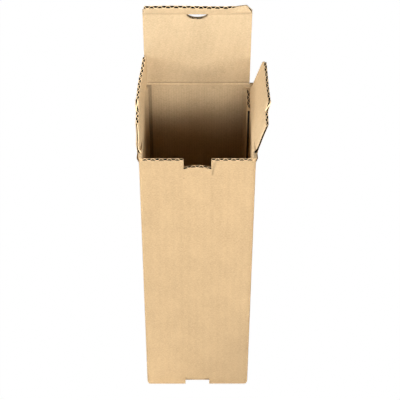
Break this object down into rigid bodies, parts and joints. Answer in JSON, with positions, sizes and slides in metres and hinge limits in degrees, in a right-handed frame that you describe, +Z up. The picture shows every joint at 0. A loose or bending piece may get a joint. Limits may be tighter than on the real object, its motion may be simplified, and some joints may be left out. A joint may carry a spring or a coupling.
{
  "type": "bottle shipping box",
  "caption": "Tall square kraft corrugated box for one wine bottle, open at the top, with a hinged tuck lid at each end and a pair of dust flaps under each lid.",
  "frame": {"origin": "on the floor under the middle of the box, on the bottom lid's outer face", "axes": "+Z up along the box, -Y towards the front wall with the thumb notches, +X to the right seen from the front"},
  "size_m": [0.1146, 0.098, 0.4221],
  "materials": {
    "kraft_board": "matte uncoated kraft"
  },
  "bodies": {
    "root": {"box_body": "kraft_board"},
    "top_lid": {"lid": "kraft_board"},
    "top_tuck": {"tuck_flap": "kraft_board"},
    "left_dust": {"dust_flap_left": "kraft_board"},
    "right_dust": {"dust_flap_right": "kraft_board"},
    "lower_lid": {"bottom_lid": "kraft_board"},
    "lower_tuck": {"bottom_tuck_flap": "kraft_board"}
  },
  "joints": [
    {"name": "lid_hinge", "type": "hinge", "parent": "root", "child": "top_lid", "pos_m": [0, 0.0475, 0.3158], "axis": [1, 0, 0], "range_deg": [-53.5, 81.5]},
    {"name": "tuck_hinge", "type": "hinge", "parent": "top_lid", "child": "top_tuck", "pos_m": [0, 0.03405, 0.4058], "axis": [1, 0, 0], "range_deg": [-51.7, 78.5]},
    {"name": "dust_left_hinge", "type": "hinge", "parent": "root", "child": "left_dust", "pos_m": [-0.048, 0, 0.3125], "axis": [0, 1, 0], "range_deg": [-86, 94]},
    {"name": "dust_right_hinge", "type": "hinge", "parent": "root", "child": "right_dust", "pos_m": [0.048, 0, 0.3125], "axis": [0, -1, 0], "range_deg": [-73, 107]},
    {"name": "bottom_lid_hinge", "type": "hinge", "parent": "root", "child": "lower_lid", "pos_m": [0, 0.0475, 0.0015], "axis": [1, 0, 0], "range_deg": [0, 130]},
    {"name": "bottom_tuck_hinge", "type": "hinge", "parent": "lower_lid", "child": "lower_tuck", "pos_m": [0, -0.0435, 0.0015], "axis": [1, 0, 0], "range_deg": [0, 91.5]}
  ],
  "couplings": [
    {"joint": "tuck_hinge", "follows": "lid_hinge", "ratio": 0.95706},
    {"joint": "bottom_tuck_hinge", "follows": "bottom_lid_hinge", "ratio": 0.7}
  ]
}
